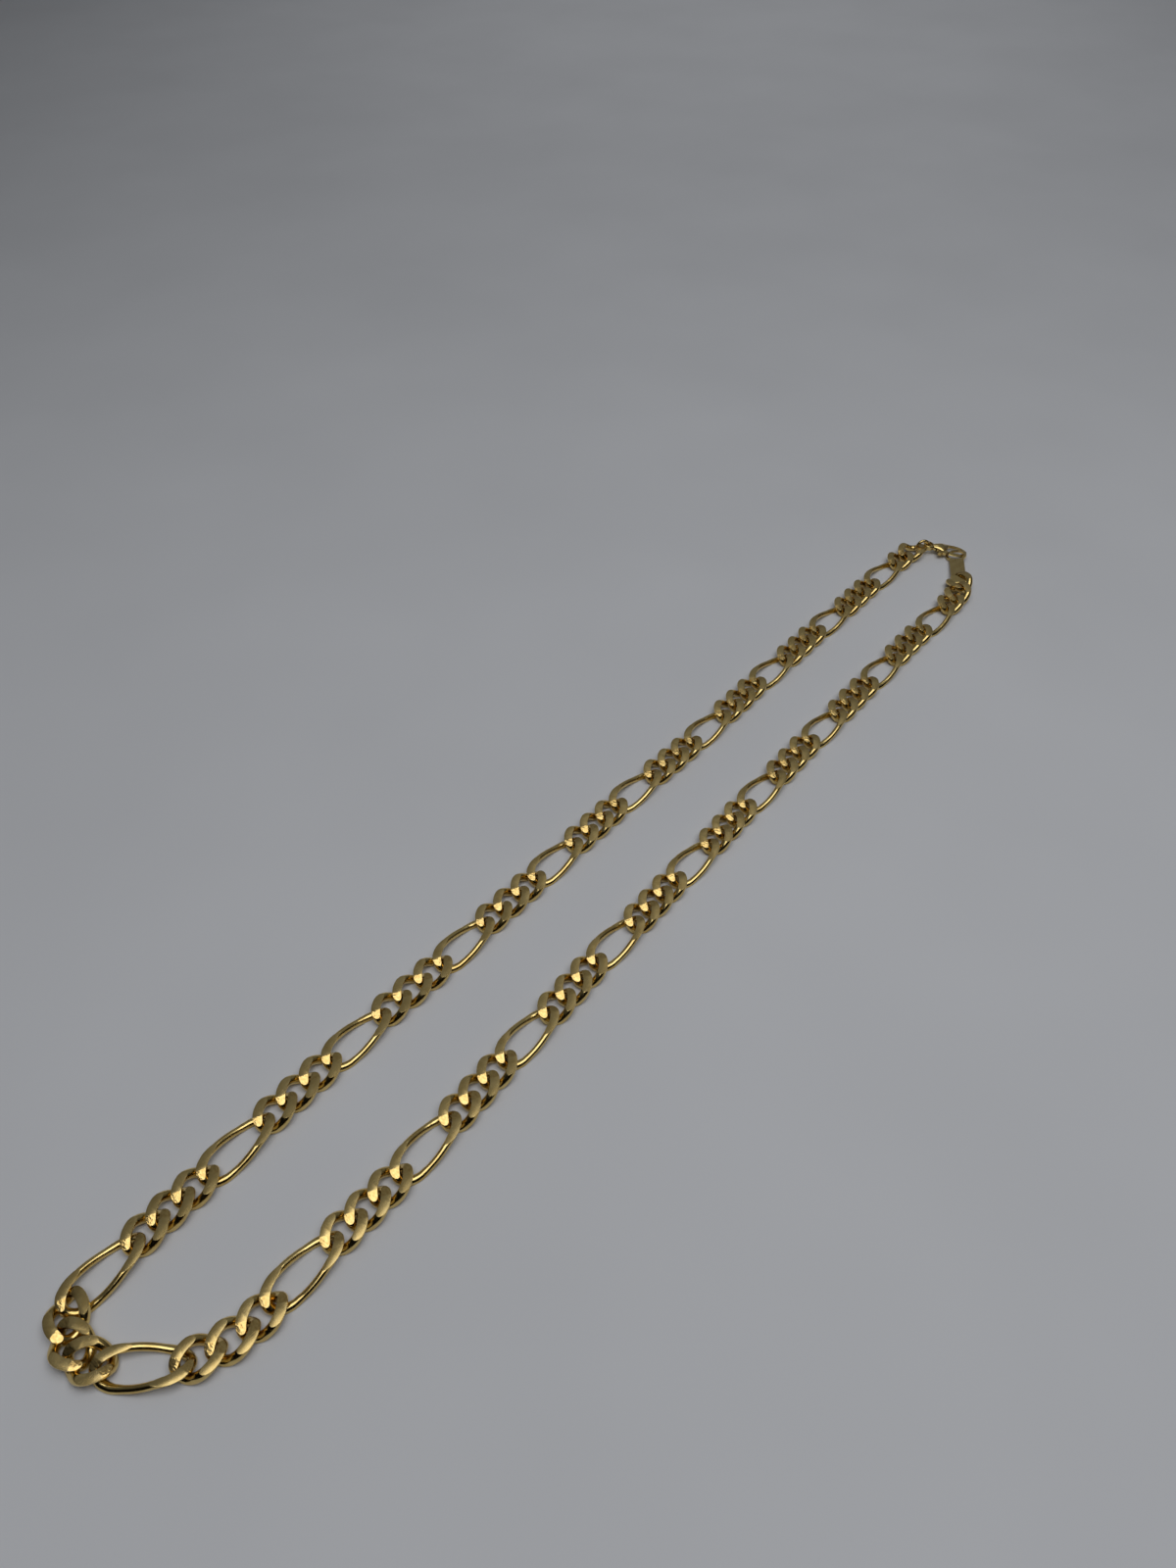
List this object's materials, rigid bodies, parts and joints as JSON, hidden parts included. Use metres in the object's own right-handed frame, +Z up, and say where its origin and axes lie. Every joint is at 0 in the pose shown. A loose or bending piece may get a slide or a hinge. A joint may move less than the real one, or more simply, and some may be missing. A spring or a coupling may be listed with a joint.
{
  "type": "figaro chain necklace",
  "caption": "Flat gold-coloured figaro chain lying as a closed loop, with jump ring, lobster clasp with a sprung lever and a flat end tab hooked in it.",
  "frame": {"origin": "middle of the bounding box in plan, on the surface that the chain lies on", "axes": "+X along the two strands, from the near bend to the clasp; +Y towards the strand that ends at the clasp; +Z up, square to the links' ground faces"},
  "size_m": [0.2464, 0.0278, 0.0039],
  "materials": {
    "gold": "polished"
  },
  "bodies": {
    "necklace": {"chain_left": "gold", "chain_right": "gold", "jump_ring": "gold", "clasp_body": "gold", "end_tab": "gold"},
    "lever": {"clasp_lever": "gold"}
  },
  "joints": [
    {"name": "lever_hinge", "type": "hinge", "parent": "necklace", "child": "lever", "pos_m": [0.11836, 0.00327, 0.00148], "axis": [0.0817, -0.1334, 0.9877], "range_deg": [0, 20], "stiffness_Nm_per_rad": 0.0004, "springref_deg": -11.46}
  ]
}
